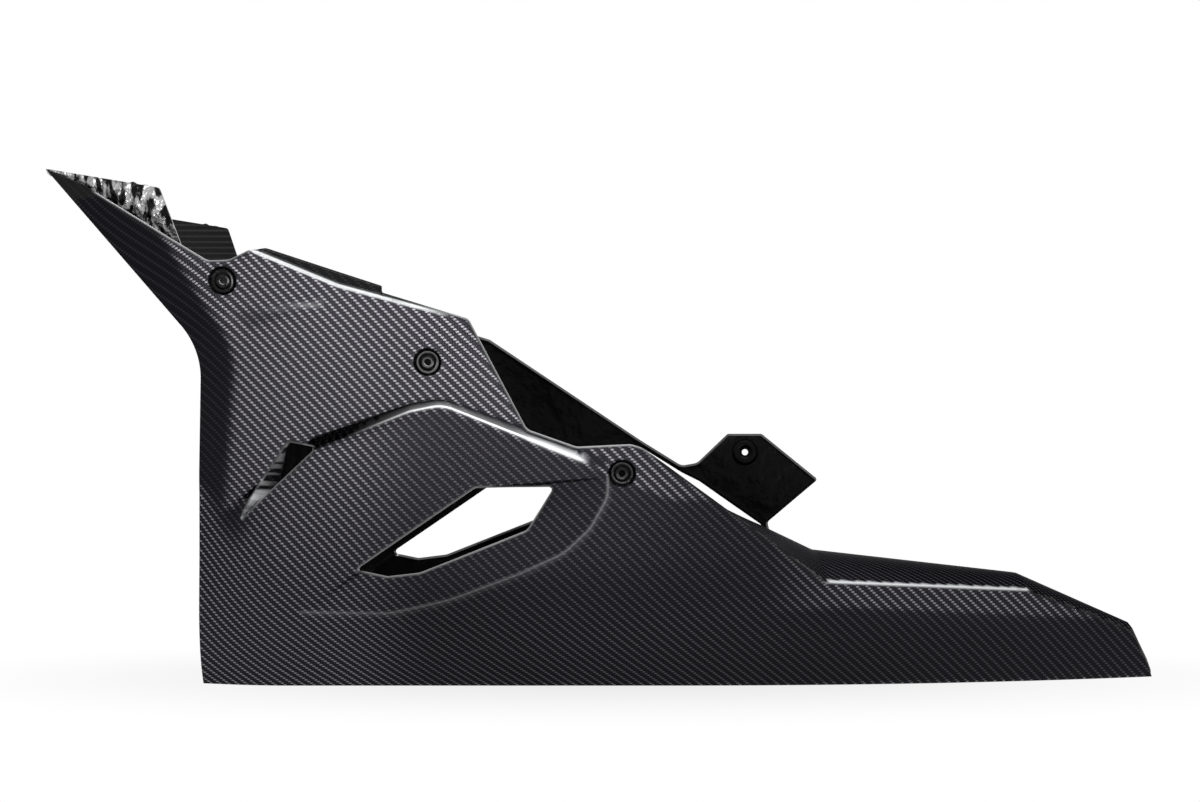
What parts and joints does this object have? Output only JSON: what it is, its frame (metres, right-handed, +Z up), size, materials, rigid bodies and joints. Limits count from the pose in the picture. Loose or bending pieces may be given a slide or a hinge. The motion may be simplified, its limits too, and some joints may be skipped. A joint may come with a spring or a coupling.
{
  "type": "motorcycle belly pan",
  "caption": "Moulded twill carbon belly pan: an open trough with swept-up front horns, ledged sides, scooped side openings, dished screw seats and a pointed tail box.",
  "frame": {"origin": "middle of the bounding box, on the flat keel", "axes": "+X to the rear wheel, +Y to the bike's right-hand side, +Z up"},
  "size_m": [0.8808, 0.311, 0.4028],
  "materials": {
    "carbon_shell": "twill carbon laminate, clear-coated outside, bare resin gloss inside"
  },
  "bodies": {
    "root": {"belly_pan_shell": "carbon_shell"}
  },
  "joints": []
}
